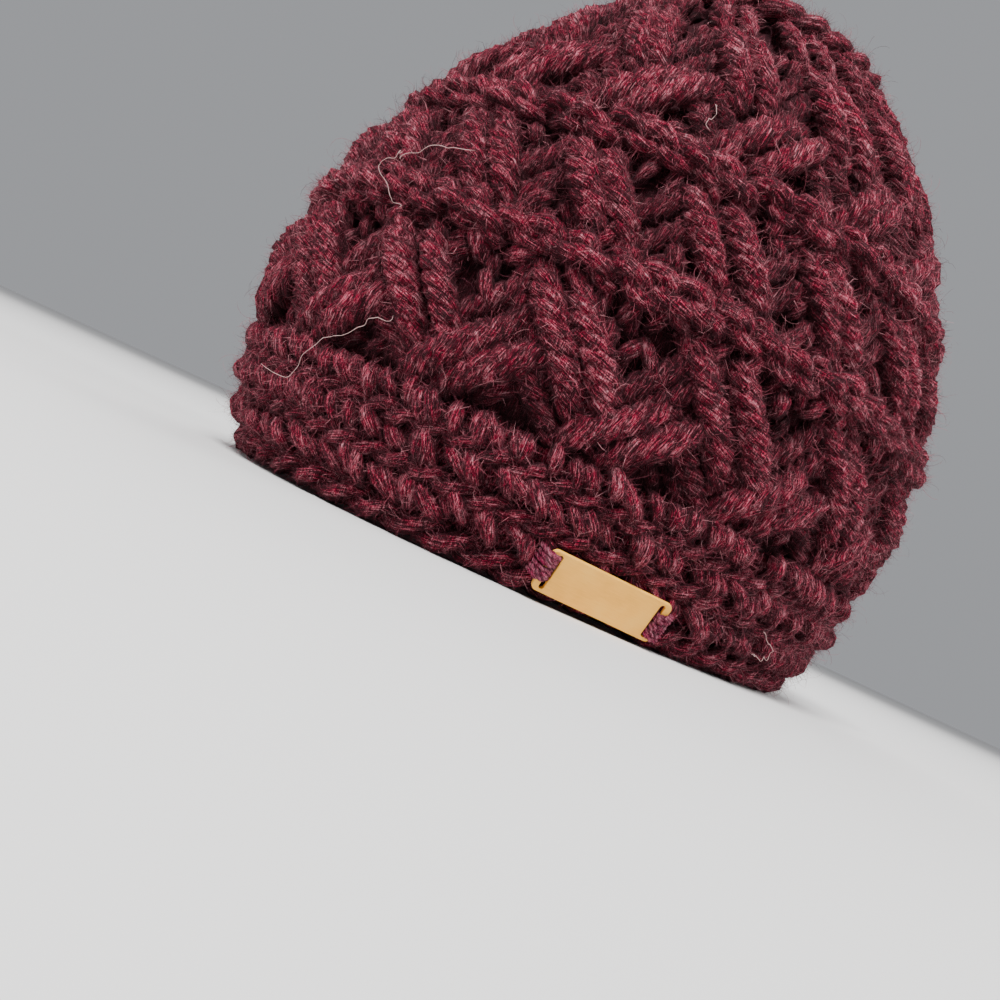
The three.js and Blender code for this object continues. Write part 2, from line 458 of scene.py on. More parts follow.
class YarnTool(GeometryTool):
    """Sweeps a round, slightly lumpy strand along every path of an edge mesh."""

    def __init__(self) -> None:
        """Builds the tree."""
        super().__init__("strands along paths", {
            "Sides": "NodeSocketInt", "Lump Scale": "NodeSocketFloat",
            "Lump Height": "NodeSocketFloat", "Material": "NodeSocketMaterial",
        })
        write, given = self.write, self.given
        paths = write.add("GeometryNodeMeshToCurve", given["Geometry"]).outputs[0]
        spun = write.add("GeometryNodeSetCurveTilt", paths, Tilt=write.attribute("spin")).outputs[0]
        circle = write.add("GeometryNodeCurvePrimitiveCircle", given["Sides"],
                           Radius=1.0).outputs[0]
        capture = write.add("GeometryNodeCaptureAttribute", circle)
        capture.capture_items.new("VECTOR", "Rim")
        place = write.add("GeometryNodeInputPosition").outputs[0]
        write.feed(capture.inputs["Rim"], place)
        sweep = write.add("GeometryNodeCurveToMesh", spun, capture.outputs[0], Fill_Caps=True,
                          Scale=write.attribute("radius")).outputs[0]
        rim = write.add("ShaderNodeSeparateXYZ", capture.outputs["Rim"]).outputs
        space = write.add("ShaderNodeCombineXYZ", rim[0], rim[1], write.attribute("run")).outputs[0]
        named = write.add("GeometryNodeStoreNamedAttribute", sweep, Name="yarn_space", Value=space,
                          settings={"data_type": "FLOAT_VECTOR", "domain": "POINT"}).outputs[0]
        lumps = write.math("SUBTRACT", write.noise(place, given["Lump Scale"], 2.0), 0.5)
        height = write.math("MULTIPLY", lumps, given["Lump Height"])
        offset = write.scaled(write.add("GeometryNodeInputNormal").outputs[0], height)
        self.end(write.add("GeometryNodeSetPosition", named, Offset=offset).outputs[0])


class FibreDraw(Enum):
    """The random draws of one fibre, each with the number that keeps it apart from the others."""

    SIZE = 7
    SPIN = 11
    TIP = 13
    TINT = 17


class FibreTool(GeometryTool):
    """Scatters loose fibres over a piece, thickest where its fuzz attribute is high."""

    sizes: Span = (0.35, 1.0)
    tips: Span = (0.0, 2.2)

    def __init__(self, shapes: bpy.types.Collection) -> None:
        """Builds the tree.

        Args:
            shapes: The collection of fibre shapes that it picks from.
        """
        super().__init__("loose fibres", {
            "Density": "NodeSocketFloat", "Length": "NodeSocketFloat", "Rise": "NodeSocketFloat",
            "Seed": "NodeSocketInt", "Material": "NodeSocketMaterial",
        })
        write, given = self.write, self.given
        density = write.math("MULTIPLY", given["Density"], write.attribute("fuzz"))
        places, _, rotation = write.add(
            "GeometryNodeDistributePointsOnFaces", given["Geometry"], Density=density,
            Seed=given["Seed"], settings={"distribute_method": "RANDOM"}).outputs[:3]
        picks = write.add("GeometryNodeCollectionInfo", shapes, True, True).outputs[0]
        which = write.add("FunctionNodeRandomValue", settings={"data_type": "INT"})
        write.feed(which.inputs[4], 0)
        write.feed(which.inputs[5], len(shapes.objects) - 1)
        write.feed(which.inputs["Seed"], given["Seed"])
        scale = write.math("MULTIPLY", given["Length"], self.random(self.sizes, FibreDraw.SIZE))
        spin = write.add("ShaderNodeCombineXYZ", 0.0, 0.0,
                         self.random((0.0, FULL_TURN), FibreDraw.SPIN)).outputs[0]
        low = write.math("MULTIPLY", given["Rise"], self.random(self.tips, FibreDraw.TIP))
        tip = write.add("ShaderNodeCombineXYZ", low, 0.0, 0.0).outputs[0]
        for turn in (spin, tip):
            euler = write.add("FunctionNodeEulerToRotation", turn).outputs[0]
            rotation = write.add("FunctionNodeRotateRotation", rotation, euler,
                                 settings={"rotation_space": "LOCAL"}).outputs[0]
        placed = write.add("GeometryNodeInstanceOnPoints", places, Instance=picks,
                           Rotation=rotation, Scale=scale, Pick_Instance=True,
                           Instance_Index=which.outputs[2]).outputs[0]
        self.end(write.add("GeometryNodeStoreNamedAttribute", placed, Name="tint",
                           Value=self.random((0.0, 1.0), FibreDraw.TINT),
                           settings={"data_type": "FLOAT", "domain": "INSTANCE"}).outputs[0])

    def random(self, span: Span, draw: FibreDraw) -> bpy.types.NodeSocket:
        """A random number for each fibre.

        Args:
            span: The least and the greatest value.
            draw: Which of the fibre's draws it is.

        Returns:
            The socket with the number.
        """
        node = self.write.add("FunctionNodeRandomValue", settings={"data_type": "FLOAT"})
        self.write.feed(node.inputs[2], span[0])
        self.write.feed(node.inputs[3], span[1])
        self.write.feed(node.inputs["Seed"], self.write.math("ADD", self.given["Seed"], draw.value))
        return node.outputs[1]


@dataclass(frozen=True)
class FibreShape:
    """One kind of loose fibre, of length one unless said."""

    variants: int
    steps: int
    length: float = 1.0
    curl: float = 2.0
    lift: float = 0.9
    width: float = 0.024


@dataclass(frozen=True)
class FibreShapes:
    """Thin ribbons that the fibres are picked from: many short ones, some curved, one long."""

    kinds: tuple[FibreShape, ...] = (
        FibreShape(19, 1, 0.75, 0.0, 0.0),
        FibreShape(4, 2, 1.0, 3.2, 1.4, 0.019),
        FibreShape(1, 5, 1.9, 5.0, 2.0, 0.013),
    )
    seed: int = 5
    first_heading: Span = (-0.3, 0.3)
    first_rise: Span = (-0.2, 0.6)

    def build(self) -> bpy.types.Collection:
        """Makes the ribbons in a collection that isn't shown."""
        rng = np.random.default_rng(self.seed)
        shapes = bpy.data.collections.new("fibre shapes")
        for kind in self.kinds:
            for _ in range(kind.variants):
                mesh = bpy.data.meshes.new("fibre")
                mesh.from_pydata(*self.ribbon(rng, kind))
                shapes.objects.link(bpy.data.objects.new("fibre", mesh))
        return shapes

    def ribbon(self, rng: np.random.Generator, kind: FibreShape) -> tuple[list, list, list]:
        """One ribbon that lies along Y, curls as it goes and ends in a point.

        Args:
            rng: The random generator.
            kind: The kind of fibre.

        Returns:
            Its vertices, no edges, and its faces.
        """
        heading = rng.uniform(*self.first_heading)
        curl = rng.uniform(-1, 1) * kind.curl / kind.steps
        rise = rng.uniform(*self.first_rise)
        lift = rng.uniform(-1, 1) * kind.lift / kind.steps
        place = np.zeros(3)
        corners = []
        for _ in range(kind.steps):
            side = np.array([math.cos(heading), -math.sin(heading), 0]) * kind.width / 2
            corners += [tuple(place - side), tuple(place + side)]
            ahead = np.array([math.sin(heading), math.cos(heading), math.tan(rise)])
            place = place + ahead / np.linalg.norm(ahead) * kind.length / kind.steps
            heading += curl
            rise += lift
        corners.append(tuple(place))
        tip = 2 * kind.steps
        faces = [(k, k + 1, k + 3, k + 2) for k in range(0, tip - 2, 2)]
        faces.append((tip - 2, tip - 1, tip))
        return corners, [], faces


@dataclass(frozen=True)
class Rope:
    """How strands turn about each other in one fat stitch or round."""

    strands: int = 3
    strand_radius: float = 2.75 * MM
    coil_radius: float = 2.6 * MM
    pitch: float = 13 * MM
    twist: Twist = Twist.S

    @property
    def reach(self) -> float:
        """How much longer a strand is than the rope that it winds in."""
        return math.hypot(1, FULL_TURN * self.coil_radius / self.pitch)


@dataclass
class YarnPaths:
    """Gathers the middle lines of strands, and makes one piece of them."""

    name: str
    seed: int
    step: float = 2.5 * MM
    drawn_in: float = 0.25
    spin_length: float = 9 * MM
    lump_scale: float = 280.0
    ring_stray: tuple[int, ...] = (5, 9, 13)
    ring_swell: tuple[tuple[float, int], ...] = ((0.06, 17), (0.05, 29))
    oval_steps: int = 7
    oval_sink: float = 3.4 * MM
    oval_hand: Unevenness = Unevenness(0.7, 1.1 * MM, (0.78, 1.22), 0.8 * MM, (0.2, 1.8))
    points: list = field(default_factory=list)
    closed: list = field(default_factory=list)
    radii: list = field(default_factory=list)
    depths: list = field(default_factory=list)
    seat: TagSeat | None = None

    def __post_init__(self) -> None:
        """Starts the random generator."""
        self.rng = np.random.default_rng(self.seed)

    def strand(self, points: np.ndarray, radii: np.ndarray, depth: np.ndarray,
               closed: bool = False) -> None:
        """Adds one strand. Its ends are drawn in, so that they don't show as flat cuts.

        Args:
            points: Its middle line.
            radii: Its radius at each point.
            depth: How deep each point lies below the hat's face.
            closed: Whether its end meets its start.
        """
        if not closed:
            radii = radii.copy()
            radii[[0, -1]] *= self.drawn_in
        self.points.append(points)
        self.radii.append(radii)
        self.depths.append(depth)
        self.closed.append(closed)

    def rope(self, angle: np.ndarray, height: np.ndarray, depth: np.ndarray, rope: Rope,
             swell: np.ndarray | float = 1.0, closed: bool = False, phase: float = 0.0) -> None:
        """Adds the strands of a rope that follows a line on the hat's face.

        Args:
            angle: The line's angles in degrees.
            height: Its heights.
            depth: How deep the rope's middle lies.
            rope: The way the rope is twisted.
            swell: What the rope's thickness is multiplied by along the line.
            closed: Whether the line goes once round the hat and meets itself.
            phase: Where in its turn the twist starts, in radians.
        """
        middle = FACE.point(angle, height, depth)
        angle, height, depth = (np.broadcast_to(value, middle.shape[:1])
                                for value in (angle, height, depth))
        self.coil(middle, FACE.normal(angle, height), depth, rope, swell, closed, phase)

    def coil(self, middle: np.ndarray, out: np.ndarray, deep: np.ndarray, rope: Rope,
             swell: np.ndarray | float = 1.0, closed: bool = False, phase: float = 0.0) -> None:
        """Winds the strands of a rope about any line.

        Args:
            middle: The line's points.
            out: The direction away from the hat at each point.
            deep: How deep each point lies below the hat's face.
            rope: The way the rope is twisted.
            swell: What the rope's thickness is multiplied by along the line.
            closed: Whether the line meets itself.
            phase: Where in its turn the twist starts, in radians.
        """
        if closed:
            ahead = np.roll(middle, -1, 0) - np.roll(middle, 1, 0)
            run = wind_up(np.concatenate([middle, middle[:1]]))
            turns = max(round(run[-1] / rope.pitch), 1)
            wind = FULL_TURN * turns * run[:-1] / run[-1]
        else:
            ahead = np.gradient(middle, axis=0)
            wind = FULL_TURN * wind_up(middle) / rope.pitch
        ahead = unit(ahead)
        side = unit(np.cross(ahead, out))
        out = np.cross(side, ahead)
        swell = np.broadcast_to(swell, middle.shape[:1])
        for index in range(rope.strands):
            turn = rope.twist.value * wind + phase + FULL_TURN * index / rope.strands
            coil = out * np.cos(turn)[:, None] + side * np.sin(turn)[:, None]
            points = middle + coil * (rope.coil_radius * swell)[:, None]
            depth = deep - rope.coil_radius * np.cos(turn)
            self.strand(points, rope.strand_radius * swell, depth, closed)

    def ring(self, height: float, depth: float, rope: Rope, wander: float = 0.6 * MM) -> None:
        """Adds a rope that goes once round the hat at one height.

        Args:
            height: The height of its middle.
            depth: How deep its middle lies.
            rope: The way it is twisted.
            wander: How far it strays up and down; in and out it strays less.
        """
        about = FULL_TURN * float(FACE.column("half_length", np.array(height)))
        count = int(about * rope.reach / self.step)
        angle = np.linspace(0, 360, count, endpoint=False)
        round_about = np.radians(angle)
        starts = self.rng.uniform(0, FULL_TURN, len(self.ring_stray))
        stray = sum(np.sin(round_about * waves + start)
                    for waves, start in zip(self.ring_stray, starts)) / len(starts)
        swell = 1 + sum(share * np.sin(round_about * waves + start)
                        for (share, waves), start in zip(self.ring_swell, starts))
        deep = depth + 0.4 * wander * np.roll(stray, count // 3)
        self.rope(angle, height + wander * stray, deep, rope, swell, True)

    def oval(self, angle: float, low: float, high: float, lean: float, depth: float,
             radius: float) -> None:
        """Adds one short stitch, which shows as a leaning oval.

        Args:
            angle: The angle of its middle, in degrees.
            low: Its lower end.
            high: Its upper end.
            lean: How far it leans as it rises, in degrees round the hat.
            depth: How deep its middle lies.
            radius: Its half thickness.
        """
        rng, hand = self.rng, self.oval_hand
        t = np.linspace(0, 1, self.oval_steps)
        bow = np.sin(math.pi * t)
        size = radius * rng.uniform(*hand.size)
        slant = lean * rng.uniform(*hand.slant)
        foot = low + rng.normal(0, hand.ends)
        head = high + rng.normal(0, hand.ends)
        deep = depth + (1 - bow) * self.oval_sink + rng.normal(0, hand.depth)
        round_about = angle + rng.normal(0, hand.angle) + slant * (t - 0.5)
        points = FACE.point(round_about, foot + (head - foot) * t, deep)
        radii = size * (0.5 + 0.5 * bow ** 0.6)
        self.strand(points, radii, deep - radii * 0.5)

    def build(self, tool: YarnTool, finish: "WoolFinish | FibreFinish", sides: int,
              lump: float) -> bpy.types.Object:
        """Sweeps the strands into one mesh.

        Args:
            tool: The tree that sweeps them.
            finish: The yarn's finish.
            sides: Sides of a strand.
            lump: How far its lumps stand proud.

        Returns:
            The piece, with its surface marked.
        """
        sizes = [len(points) for points in self.points]
        starts = np.cumsum([0] + sizes[:-1])
        edges = []
        for start, size, closed in zip(starts, sizes, self.closed):
            line = np.arange(start, start + size)
            edges.append(np.stack([line[:-1], line[1:]], 1))
            if closed:
                edges.append(np.array([[line[-1], line[0]]]))
        mesh = bpy.data.meshes.new(self.name)
        mesh.from_pydata(np.concatenate(self.points).tolist(), np.concatenate(edges).tolist(), [])
        runs, spins, tones = [], [], []
        for points in self.points:
            length = wind_up(points)
            runs.append(length / YARN_UNIT + self.rng.uniform(0, 500))
            spins.append(length / self.spin_length)
            tones.append(np.full(len(points), self.rng.uniform(0, 1)))
        columns = {"radius": self.radii, "spin": spins, "run": runs, "tone": tones,
                   "depth": self.depths}
        for label, values in columns.items():
            store(mesh, label, np.concatenate(values))
        source = new_object(self.name + "_paths", mesh)
        piece = tool.run(source, self.name, Sides=sides, Lump_Scale=self.lump_scale,
                         Lump_Height=lump, Material=finish.material)
        discard(source)
        mark_surface(piece, self.seat)
        return piece


def mark_surface(piece: bpy.types.Object, seat: TagSeat | None) -> None:
    """Lifts swept strands off the floor, and marks which way their surface looks.

    It stores how far each point looks out of the hat, and how thickly loose fibres grow there.
    What looks into the hat is taken as the felted inside: it is given a shallow depth and its
    facing turned round, so that the painted shade darkens it only a little.

    Args:
        piece: The swept strands.
        seat: The tag's seat, over which no fibres lie, or None.
    """
    half_width, half_length, crown_foot, crown_tall = 0.100, 0.117, 0.080, 0.130
    inward = -0.35
    fuzz_depth = 9 * MM
    mesh = piece.data
    points = read(mesh.vertices, "co", 3)
    normals = read(mesh.vertices, "normal", 3)
    points[:, 2] = np.maximum(points[:, 2], CLEARANCE)
    mesh.vertices.foreach_set("co", points.ravel())
    crown = np.maximum(points[:, 2] - crown_foot, 0) / crown_tall ** 2
    out = unit(np.stack([points[:, 0] / half_width ** 2, points[:, 1] / half_length ** 2, crown],
                        1))
    facing = np.einsum("ij,ij->i", normals, out)
    stored = mesh.attributes["depth"].data
    depth = read(stored, "value")
    fuzz = np.clip(facing - inward, 0, 1) * np.clip(1.25 - depth / fuzz_depth, 0.1, 1)
    if seat is not None:
        fuzz *= ~seat.covers(points)
    # Painted shade: inward-looking wool gets a shallow depth and its facing turned round, so it is
    # painted only a little darker.
    inside = facing < inward
    stored.foreach_set("value", np.where(inside, INSIDE_SHADE_DEPTH, depth).astype(np.float32))
    store(mesh, "facing", np.where(inside, -facing, facing))
    store(mesh, "fuzz", fuzz)


@dataclass(frozen=True)
class Pattern:
    """One noise in the wool: how fine it is, and how it changes the shade and stands in relief."""

    scale: float
    detail: float
    roughness: float = 0.5
    shade: float = 0.0
    relief: float = 0.0
    middle: float = 0.5

    def noise(self, write: NodeWriter, place: bpy.types.NodeSocket) -> bpy.types.NodeSocket:
        """The pattern's noise at a place."""
        return write.noise(place, self.scale, self.detail, self.roughness)


@dataclass(frozen=True)
class WoolFinish:
    """Heathered, plied wool, crimson and rose along its strands, with painted shade that makes it
    darker in its hollows and on its flanks.
    """

    name: str
    shades: Shades
    roughness: float = 0.72
    specular: float = 0.08
    sheen: float = 0.07
    sheen_roughness: float = 0.45
    sheen_tint: tuple[float, float, float] = (0.9, 0.25, 0.34)
    middle_shade: float = 0.47
    tone_shade: float = 0.12
    # Painted shade: each span below says where the colour is darkened, by depth below the face and
    # by facing, and the factor after it says how far.
    shallow_to_deep: Span = (2.0 * MM, 7.5 * MM)
    hollow_painted_shade: float = 0.10
    side_to_front: Span = (0.10, 0.90)
    flank: float = 0.20
    dye_noise: Span = (0.39, 0.61)
    dye: Span = (0.73, 1.30)
    stretch: tuple[float, float, float] = (5.0, 5.0, 0.7)
    fibres: Pattern = Pattern(1.35, 5.0, 0.72, shade=2.8, relief=0.8)
    yarns: Pattern = Pattern(0.42, 2.0, shade=0.6, relief=1.1)
    heather: Pattern = Pattern(0.95, 5.0, 0.75)
    patches: Pattern = Pattern(230.0, 4.0, shade=0.55, relief=1.2)
    specks: Pattern = Pattern(3200.0, 1.0, shade=0.35, relief=0.5)
    blotches: Pattern = Pattern(420.0, 5.0, 0.7)
    felt: Pattern = Pattern(1.0, 3.0, 0.7, shade=2.2, relief=1.3, middle=0.56)
    felt_stretch: tuple[float, float, float] = (2700.0, 2700.0, 280.0)
    felt_turns: tuple[tuple[float, float, float], ...] = ((0.7, 0.5, 0.0), (-0.6, 1.1, 0.8))
    bump: float = 1.0
    bump_distance: float = 1.0 * MM

    @cached_property
    def material(self) -> bpy.types.Material:
        """The material, made once."""
        material, write, surface = new_material(self.name)
        place = write.add("ShaderNodeTexCoord").outputs["Object"]
        along = write.add("ShaderNodeMapping", write.marked("yarn_space", "Vector"),
                          Scale=self.stretch).outputs[0]
        tone = write.math("SUBTRACT", write.marked("tone"), 0.5)
        mixed = write.math("MULTIPLY_ADD", tone, self.tone_shade, self.middle_shade)
        relief = 0.0
        noises = [(pattern, pattern.noise(write, spot)) for pattern, spot in (
            (self.fibres, along), (self.yarns, along), (self.patches, place), (self.specks, place))]
        for pattern, noise in noises + [(self.felt, self.felted(write, place))]:
            centred = write.math("SUBTRACT", noise, pattern.middle)
            mixed = write.math("MULTIPLY_ADD", centred, pattern.shade, mixed)
            relief = write.math("MULTIPLY_ADD", noise, pattern.relief, relief)
        # Painted shade: the wool's colour is darkened in its hollows and on its flanks, where less
        # light would reach.
        shade = write.math("MULTIPLY", self.painted_hollow_shade(write), self.painted_flank_shade(write))
        painted_shade_colour = write.scaled(write.ramp(mixed, self.shades), shade)
        dye = write.math("MULTIPLY", write.math("ADD", self.heather.noise(write, along),
                                                self.blotches.noise(write, place)), 0.5)
        dyed = write.add("ShaderNodeHueSaturation", Color=painted_shade_colour, Saturation=write.add(
            "ShaderNodeMapRange", dye, *self.dye_noise, *self.dye).outputs[0]).outputs[0]
        write.fill(surface, Base_Color=dyed,
                   Normal=write.bump(relief, self.bump, self.bump_distance),
                   Roughness=self.roughness, Specular_IOR_Level=self.specular,
                   Sheen_Weight=self.sheen, Sheen_Roughness=self.sheen_roughness,
                   Sheen_Tint=(*self.sheen_tint, 1))
        return material

    def painted_hollow_shade(self, write: NodeWriter) -> bpy.types.NodeSocket:
        """Painted shade for the wool's depth below the hat's face: the deeper, the darker."""
        return write.add("ShaderNodeMapRange", write.marked("depth"), *self.shallow_to_deep,
                         1.0, self.hollow_painted_shade).outputs[0]

    def painted_flank_shade(self, write: NodeWriter) -> bpy.types.NodeSocket:
        """Painted shade for the way the wool looks: darker where it looks sideways than where it
        looks out of the hat.
        """
        return write.add("ShaderNodeMapRange", write.marked("facing"), *self.side_to_front,
                         self.flank, 1.0).outputs[0]

    def felted(self, write: NodeWriter, place: bpy.types.NodeSocket) -> bpy.types.NodeSocket:
        """Fine streaks in a few directions, as of fibres felted over the strand.

        Args:
            write: The node writer.
            place: The point on the piece.

        Returns:
            The streaks' strength.
        """
        turned = [write.add("ShaderNodeMapping", place, Rotation=turn, Scale=self.felt_stretch)
                  for turn in self.felt_turns]
        return write.math("MAXIMUM", *[self.felt.noise(write, node.outputs[0]) for node in turned])


@dataclass(frozen=True)
class FibreFinish:
    """Loose fibres, each of its own shade."""

    name: str
    shades: Shades
    roughness: float = 0.7
    specular: float = 0.2
    sheen: float = 0.1

    @cached_property
    def material(self) -> bpy.types.Material:
        """The material, made once."""
        material, write, surface = new_material(self.name)
        write.fill(surface, Base_Color=write.ramp(write.marked("tint"), self.shades),
                   Roughness=self.roughness, Specular_IOR_Level=self.specular,
                   Sheen_Weight=self.sheen)
        return material


@dataclass(frozen=True)
class Core:
    """The felted wall behind the strands: level outside, worked in rows of bumps inside."""

    outside: float = 8.6 * MM
    columns: int = 180
    outer_levels: int = 4
    row: float = 3.2 * MM
    bump: float = 1.0 * MM
    bump_sunk: float = 0.6
    round_share: float = 0.55
    stitch_share: float = 0.45
    stitch: float = 6.0
    round_height: float = 10 * MM
    # Painted shade: the depth given to the level outside, deeper than it lies, so that it is
    # painted near black where it shows between the strands.
    outside_painted_shade_depth: float = 20 * MM

    def build(self, name: str, low: float, high: float, wall: float, finish: WoolFinish,
              seat: TagSeat | None = None) -> bpy.types.Object:
        """Makes the wall of one round.

        Args:
            name: The piece's name.
            low: Its lowest height.
            high: Its highest height.
            wall: Thickness of the whole wall.
            finish: The yarn's finish.
            seat: The tag's seat, where the tag presses on this round.

        Returns:
            The piece.
        """
        rows = max(int((high - low) / self.row), 2)
        angle = np.linspace(0, 360, self.columns, endpoint=False)
        levels = np.concatenate([np.linspace(low, high, self.outer_levels),
                                 np.linspace(high, low, rows + 1)])
        inner = np.arange(len(levels)) >= self.outer_levels
        grid_angle, grid_level = np.meshgrid(angle, levels, indexing="ij")
        wave = np.cos(FULL_TURN * (grid_level / self.round_height))
        stagger = np.floor(grid_level / self.round_height) * self.stitch / 2
        lumps = np.cos(FULL_TURN * (grid_angle + stagger) / self.stitch)
        relief = self.bump * (self.round_share * wave + self.stitch_share * lumps * np.abs(wave))
        depth = np.where(inner, wall - self.bump_sunk * self.bump + relief, self.outside)
        points = FACE.point(grid_angle, grid_level, depth).reshape(-1, 3)
        if seat is not None:
            points = seat.press(points, np.zeros(len(points)))
        tall = len(levels)
        here = np.arange(self.columns)[:, None] * tall + np.arange(tall)[None]
        right = np.roll(here, -1, 0)
        corners = [here, right, np.roll(right, -1, 1), np.roll(here, -1, 1)]
        mesh = bpy.data.meshes.new(name)
        mesh.from_pydata(points.tolist(), [], np.stack(corners, -1).reshape(-1, 4).tolist())
        store(mesh, "yarn_space", points / YARN_UNIT)
        # Painted shade: the inside is given a shallow depth that follows its bumps, the outside a
        # deep one that paints it near black.
        store(mesh, "depth", np.where(inner, INSIDE_SHADE_DEPTH + relief, self.outside_painted_shade_depth).ravel())
        store(mesh, "tone", np.full(len(points), 0.5))
        store(mesh, "facing", np.ones(len(points)))
        mesh.materials.append(finish.material)
        mesh.shade_smooth()
        return new_object(name, mesh)


@dataclass(frozen=True)
class CrossingRow:
    """One row of a cable tier: pairs of fat stitches that cross over pairs behind them."""

    low: float
    high: float
    lean: Lean
    angle: float
    count: int
    spacing: float = 6.0
    shift: float = 12.0
    rope: Rope = Rope()
    front_depth: float = 3.7 * MM
    behind_depth: float = 7.4 * MM
    behind: bool = True


@dataclass
class CableTier:
    """A tier of crossing stitches between two ridge rounds."""

    node: str
    low: float
    high: float
    rows: tuple[CrossingRow, ...]
    seed: int
    wall: float = 12 * MM
    fill_row: float = 8.5 * MM
    fill_spacing: float = 8.0 * MM
    fill_depth: float = 7.0 * MM
    fill_radius: float = 2.9 * MM
    fill_gaps: float = 0.28
    fill_lean: float = 4.0
    fill_half: float = 0.62
    hand: Unevenness = Unevenness(0.5, 0.7 * MM, (0.9, 1.1))
    behind_size: float = 0.86
    end_depth: float = 8.2 * MM
    fewest_steps: int = 8
    ease: float = 0.55
    end_swell: float = 0.62

    def paths(self) -> YarnPaths:
        """Lays every stitch of the tier."""
        paths = YarnPaths(self.node + "_stitches", self.seed)
        self.fill(paths)
        for row in self.rows:
            pitch = 360 / row.count
            for index in range(row.count):
                middle = row.angle + index * pitch
                for side in (-0.5, 0.5):
                    self.stitch(paths, row, middle + side * row.spacing, row.lean.value, True)
                    if row.behind:
                        behind = middle + pitch / 2 + side * row.spacing
                        self.stitch(paths, row, behind, -row.lean.value, False)
        return paths

    def fill(self, paths: YarnPaths) -> None:
        """Lays the small stitches that show, in shade, between the crossing ones."""
        rows = max(round((self.high - self.low) / self.fill_row), 1)
        half = self.fill_half * self.fill_row
        for row in range(rows):
            middle = self.low + (row + 0.5) * (self.high - self.low) / rows
            count = int(360 * FACE.arc_of_degree(middle) / self.fill_spacing)
            for index in range(count):
                if paths.rng.random() < self.fill_gaps:
                    continue
                lean = paths.rng.choice([-self.fill_lean, self.fill_lean])
                angle = (index + 0.5 * (row % 2)) * 360 / count
                paths.oval(angle, middle - half, middle + half, lean, self.fill_depth,
                           self.fill_radius)

    def stitch(self, paths: YarnPaths, row: CrossingRow, angle: float, lean: int,
               front: bool) -> None:
        """Lays one fat stitch from its foot to its head.

        Args:
            paths: Where its strands go.
            row: The row it stands in.
            angle: The angle of its middle.
            lean: 1 to lean right as it rises, -1 to lean left.
            front: Whether it crosses over, or lies behind.
        """
        rng, hand = paths.rng, self.hand
        angle = angle + rng.normal(0, hand.angle)
        low = row.low + rng.normal(0, hand.ends)
        high = row.high + rng.normal(0, hand.ends)
        size = rng.uniform(*hand.size) * (1.0 if front else self.behind_size)
        length = math.hypot(high - low, row.shift * FACE.arc_of_degree((low + high) / 2))
        t = np.linspace(0, 1, max(int(length * row.rope.reach / paths.step), self.fewest_steps))
        ease = (1 - self.ease) * t + self.ease * t * t * (3 - 2 * t)
        bow = np.sin(math.pi * t)
        middle_depth = row.front_depth if front else row.behind_depth
        depth = middle_depth + (1 - bow ** 0.7) * (self.end_depth - middle_depth)
        swell = size * (self.end_swell + (1 - self.end_swell) * bow ** 0.45)
        paths.rope(angle + lean * row.shift * (ease - 0.5), low + (high - low) * t, depth, row.rope,
                   swell, phase=rng.uniform(0, FULL_TURN))


@dataclass
class RidgeRound:
    """A raised round between two tiers: long slanted stitches that lap like a braid."""

    node: str
    low: float
    high: float
    seed: int
    wall: float = 12 * MM
    spacing: float = 10.5 * MM
    length: float = 19.0 * MM
    slant: float = 6.5 * MM
    depth: float = 2.3 * MM
    under_depth: float = 6.0 * MM
    under_wander: float = 0.9 * MM
    side_spacing: float = 8.5 * MM
    side_lean: float = 3.5
    side_half: float = 4 * MM
    side_depth: float = 5.4 * MM
    side_radius: float = 2.8 * MM
    rope: Rope = Rope(2, 2.5 * MM, 1.9 * MM, 21 * MM, Twist.S)
    lap_steps: int = 12
    lap_sink: float = 3.8 * MM
    lap_under: float = 1.6 * MM
    lap_sway: float = 0.9 * MM
    end_swell: float = 0.55
    hand: Unevenness = Unevenness(0.5, 0.8 * MM, (0.92, 1.14), 0.4 * MM, (0.7, 1.3), (0.9, 1.1))

    def paths(self) -> YarnPaths:
        """Lays the braid round the hat, and small stitches along both its sides."""
        paths = YarnPaths(self.node + "_stitches", self.seed)
        middle = (self.low + self.high) / 2
        around = 360 * FACE.arc_of_degree(middle)
        count = int(around / self.spacing)
        for index in range(count):
            self.lap(paths, index * 360 / count, middle)
        paths.ring(middle, self.under_depth, self.rope, self.under_wander)
        count = int(around / self.side_spacing)
        half = self.side_half
        for index in range(count):
            for level in (self.low, self.high):
                lean = paths.rng.choice([-self.side_lean, self.side_lean])
                paths.oval(index * 360 / count, level - half, level + half, lean, self.side_depth,
                           self.side_radius)
        return paths

    def lap(self, paths: YarnPaths, angle: float, middle: float) -> None:
        """Lays one slanted stitch, whose rear end goes under the one behind it.

        Args:
            paths: Where its strands go.
            angle: The angle of its middle, in degrees.
            middle: The height of its middle.
        """
        rng, hand = paths.rng, self.hand
        t = np.linspace(0, 1, self.lap_steps)
        bow = np.sin(math.pi * t) ** 0.6
        width = self.length * rng.uniform(*hand.length) / FACE.arc_of_degree(middle)
        fall = -self.slant * rng.uniform(*hand.slant) * (t - 0.5)
        height = middle + rng.normal(0, hand.ends) + fall + self.lap_sway * np.sin(FULL_TURN * t)
        depth = self.depth + (1 - bow) * self.lap_sink + self.lap_under * (t - 0.5)
        depth = depth + rng.normal(0, hand.depth)
        swell = rng.uniform(*hand.size) * (self.end_swell + (1 - self.end_swell) * bow)
        paths.rope(angle + rng.normal(0, hand.angle) + width * (t - 0.5), height, depth, self.rope,
                   swell, phase=rng.uniform(0, FULL_TURN))


@dataclass(frozen=True)
class ShortRow:
    """One row of short stitches, that show as leaning ovals."""

    low: float
    high: float
    angle: float
    lean: float = -3.2
    count: int = 60
    depth: float = 2.6 * MM
    radius: float = 2.5 * MM


@dataclass(frozen=True)
class LoopLine:
    """A line of loops that lies between two rows of short stitches."""

    height: float
    depth: float
    rope: Rope


